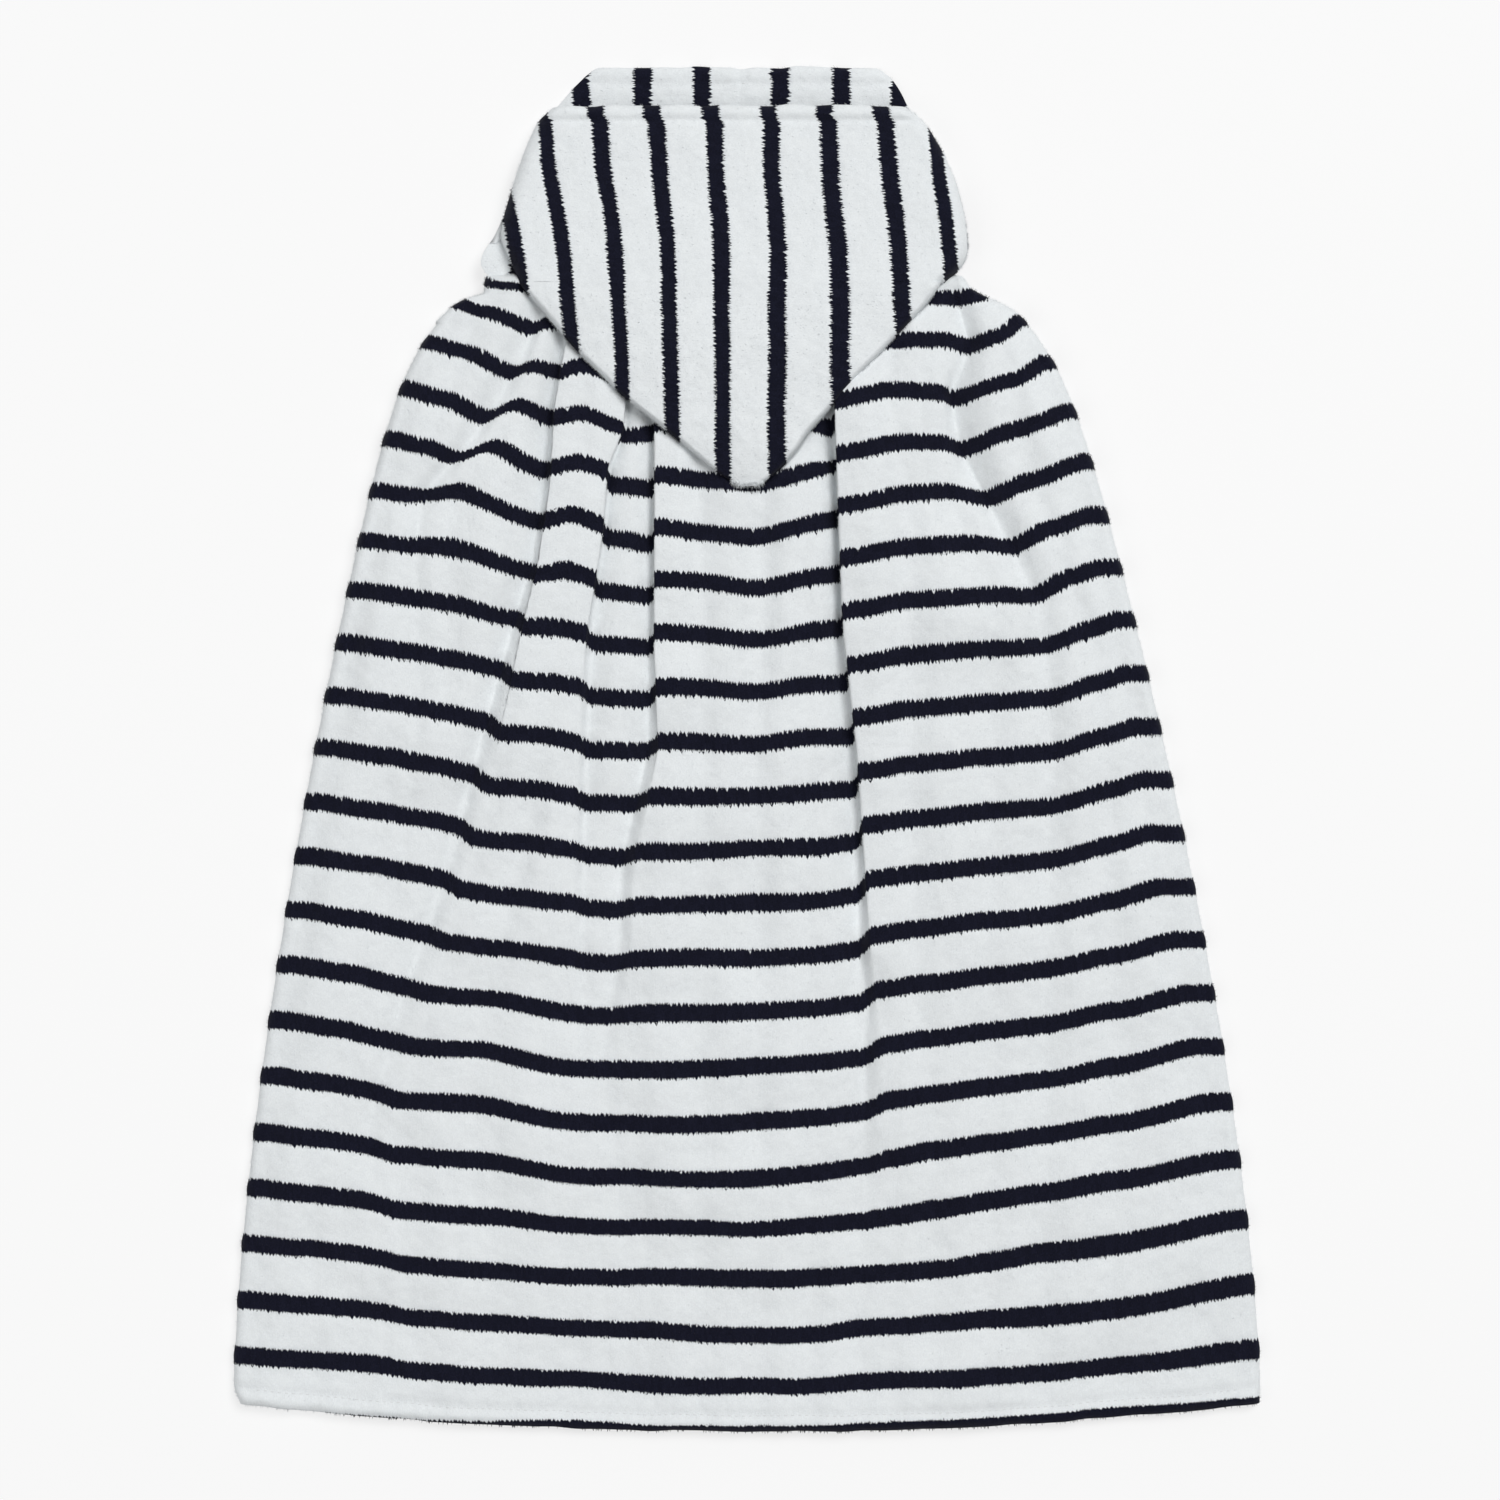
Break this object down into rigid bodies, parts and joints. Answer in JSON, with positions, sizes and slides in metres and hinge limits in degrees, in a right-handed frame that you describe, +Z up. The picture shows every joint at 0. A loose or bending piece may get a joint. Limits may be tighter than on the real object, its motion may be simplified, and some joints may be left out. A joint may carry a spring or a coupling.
{
  "type": "hooded baby towel",
  "caption": "Striped plush hooded baby towel laid flat, with a gathered body, wrapped front panels and a pointed hood folded over the back.",
  "frame": {"origin": "middle of the towel's bounding box, on the surface it lies on", "axes": "+X across the towel to the right of a viewer who looks down with the hood away from them, +Y from the bottom hem towards the hood, +Z up"},
  "size_m": [0.551, 0.732, 0.0284],
  "materials": {
    "striped_plush": "white short-pile plush with narrow navy stripes",
    "hem_plush": "folded and sewn plush hem, white with the end of the navy stripes",
    "seam_plush": "gathered plush with overlocked raw edges",
    "thread": "white polyester sewing thread"
  },
  "bodies": {
    "back": {"back_panel": "striped_plush", "back_hem": "hem_plush", "back_hem_stitching": "thread", "neck_seam_front": "seam_plush", "neck_seam_back": "seam_plush", "hood_far_left": "striped_plush", "hood_far_right": "striped_plush", "hood_chin_seam": "thread", "hood_far_hem": "hem_plush", "hood_far_stitching": "thread", "hood_side_left": "striped_plush", "hood_side_right": "striped_plush"},
    "front_left": {"front_left_panel": "striped_plush", "front_left_bottom_hem": "hem_plush", "front_left_edge_hem": "hem_plush", "front_left_stitching": "thread"},
    "front_right": {"front_right_panel": "striped_plush", "front_right_bottom_hem": "hem_plush", "front_right_edge_hem": "hem_plush", "front_right_stitching": "thread"},
    "brim": {"hood_brim": "striped_plush", "hood_brim_hem": "hem_plush", "hood_brim_stitching": "thread"},
    "point": {"hood_point_top": "striped_plush", "hood_under_left": "striped_plush", "hood_under_right": "striped_plush", "hood_back_seam": "thread"}
  },
  "joints": [
    {"name": "front_left_fold", "type": "hinge", "parent": "back", "child": "front_left", "pos_m": [-0.2805, -0.351, 0.00515], "axis": [0.1486, 0.9889, 0], "range_deg": [0, 179]},
    {"name": "front_right_fold", "type": "hinge", "parent": "back", "child": "front_right", "pos_m": [0.283, -0.351, 0.00515], "axis": [0.1748, -0.9846, 0], "range_deg": [0, 179]},
    {"name": "brim_lift", "type": "hinge", "parent": "back", "child": "brim", "pos_m": [0, 0.248, 0.0284], "axis": [1, 0, 0], "range_deg": [0, 50]},
    {"name": "point_lift", "type": "hinge", "parent": "back", "child": "point", "pos_m": [0, 0.248, 0.0284], "axis": [-1, 0, 0], "range_deg": [0, 110]}
  ]
}
